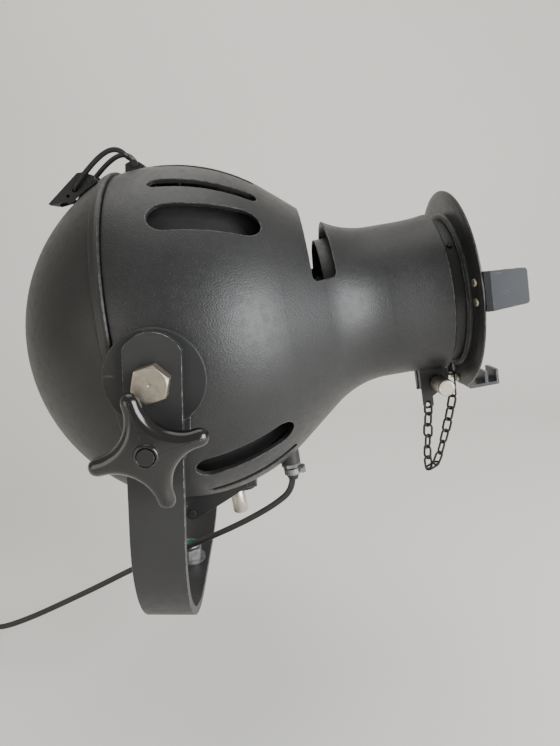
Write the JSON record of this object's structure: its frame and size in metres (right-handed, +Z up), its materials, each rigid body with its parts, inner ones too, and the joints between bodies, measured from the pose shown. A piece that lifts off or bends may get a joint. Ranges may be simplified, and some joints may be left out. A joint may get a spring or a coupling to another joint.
{
  "type": "theatre profile spotlight",
  "caption": "Hanging theatre spotlight: rounded cast lamphouse with a long snout, sliding lens tube with colour-frame runners, hinged rear cover and a tilting U yoke with a locking knob.",
  "frame": {"origin": "centre of the mounting hole in the yoke's foot, on the outer face that meets the stand", "axes": "+X the way the snout points, +Z up through the yoke, -Y the side of the locking knob; at rest the snout is tilted 10.6 degrees above +X"},
  "size_m": [0.5417, 0.3368, 0.4521],
  "materials": {
    "casing_enamel": "satin",
    "yoke_paint": "satin",
    "black_steel": "satin",
    "nickel": "satin",
    "zinc": "satin",
    "inner_aluminium": "polished",
    "lens_paint": "satin",
    "bakelite": "gloss",
    "nylon": "satin",
    "porcelain": "gloss",
    "lens_glass": "polished",
    "lamp_glass": "polished",
    "flex_rubber": "satin",
    "plug_plastic": "satin",
    "brass": "satin"
  },
  "bodies": {
    "yoke": {"yoke": "yoke_paint", "mount_washer": "zinc", "mount_lock_nut": "nickel", "mount_nut_nylon_collar": "nylon", "clamp_plate": "black_steel", "flex_lead": "flex_rubber", "flex_tail": "flex_rubber", "flex_coil": "flex_rubber", "flex_tie": "plug_plastic", "plug_body": "plug_plastic", "plug_pins": "brass"},
    "head": {"front_casing": "casing_enamel", "light_baffles": "black_steel", "pivot_bolt_near": "nickel", "pivot_bolt_far": "nickel", "friction_disc_near": "black_steel", "friction_disc_far": "black_steel", "cover_hinge_plates": "black_steel", "cover_hinge_pin": "zinc", "latch_keeper": "black_steel", "keeper_bolt": "black_steel", "reflector": "inner_aluminium", "reflector_carrier": "black_steel", "lamp_bulb": "lamp_glass", "lamp_cap": "brass", "lampholder": "porcelain", "lamp_tray": "black_steel", "gate_plate": "black_steel", "gate_runners": "black_steel", "clamp_ear_near": "black_steel", "clamp_ear_far": "black_steel", "clamp_nut": "zinc", "cord_grip": "black_steel", "cord_grip_nut": "zinc", "cord_grip_band": "zinc", "cord_grip_screw": "zinc", "flex_sleeve": "flex_rubber", "terminal_block": "porcelain"},
    "lock_knob": {"lock_knob": "bakelite", "knob_stud": "black_steel"},
    "rear_cover": {"rear_cover": "casing_enamel", "latch_base": "black_steel", "latch_pivot_pin": "black_steel"},
    "latch_lever": {"latch_lever": "black_steel"},
    "latch_loop": {"latch_loop": "black_steel"},
    "lens_carriage": {"lens_tube": "lens_paint", "brim": "lens_paint", "chain_lug": "black_steel", "runner_screws": "nickel", "colour_runner_near": "lens_paint", "colour_runner_bottom": "lens_paint", "colour_runner_far": "lens_paint", "lens": "lens_glass", "lens_retaining_rings": "black_steel", "tube_rivet": "zinc"},
    "clamp_thumbscrew": {"clamp_thumbscrew": "nickel"},
    "tray_thumbscrew": {"tray_thumbscrew": "nickel"},
    "chain_fixed": {"chain_fixed_strand": "black_steel"},
    "chain_moving": {"chain_moving_strand": "black_steel"}
  },
  "joints": [
    {"name": "head_tilt", "type": "hinge", "parent": "yoke", "child": "head", "pos_m": [0, 0, 0.213], "axis": [0, 1, 0], "range_deg": [-45, 50], "deforming": ["flex_lead"]},
    {"name": "lock_knob_turn", "type": "hinge", "parent": "yoke", "child": "lock_knob", "pos_m": [0, -0.168, 0.1754], "axis": [0, -1, 0], "range_deg": [0, 180]},
    {"name": "cover_hinge", "type": "hinge", "parent": "head", "child": "rear_cover", "pos_m": [0.00656, 0, 0.06651], "axis": [0, -1, 0], "range_deg": [0, 70]},
    {"name": "latch_lever_turn", "type": "hinge", "parent": "rear_cover", "child": "latch_lever", "pos_m": [-0.07104, 0, 0.33766], "axis": [0, 1, 0], "range_deg": [0, 110]},
    {"name": "latch_loop_swing", "type": "hinge", "parent": "latch_lever", "child": "latch_loop", "pos_m": [-0.08292, 0, 0.33045], "axis": [0, 1, 0], "range_deg": [-110, 0]},
    {"name": "lens_slide", "type": "slide", "parent": "head", "child": "lens_carriage", "axis": [0.9829, 0, 0.1839], "range_m": [-0.002, 0.055]},
    {"name": "clamp_thumbscrew_turn", "type": "hinge", "parent": "head", "child": "clamp_thumbscrew", "pos_m": [0.2131, -0.02916, 0.18223], "axis": [-0.0128, -0.9976, 0.0686], "range_deg": [0, 180]},
    {"name": "tray_thumbscrew_turn", "type": "hinge", "parent": "head", "child": "tray_thumbscrew", "pos_m": [0.04458, 0, 0.06721], "axis": [0.184, 0, -0.9829], "range_deg": [0, 180]},
    {"name": "chain_fixed_swing", "type": "hinge", "parent": "head", "child": "chain_fixed", "pos_m": [0.20619, -0.01498, 0.16259], "axis": [0.0128, 0.9976, -0.0686], "range_deg": [-10, 35]},
    {"name": "chain_moving_swing", "type": "hinge", "parent": "lens_carriage", "child": "chain_moving", "pos_m": [0.2275, -0.00239, 0.18792], "axis": [0.0128, 0.9976, -0.0686], "range_deg": [-6, 18]}
  ],
  "couplings": [
    {"joint": "latch_loop_swing", "follows": "latch_lever_turn", "ratio": -1}
  ]
}
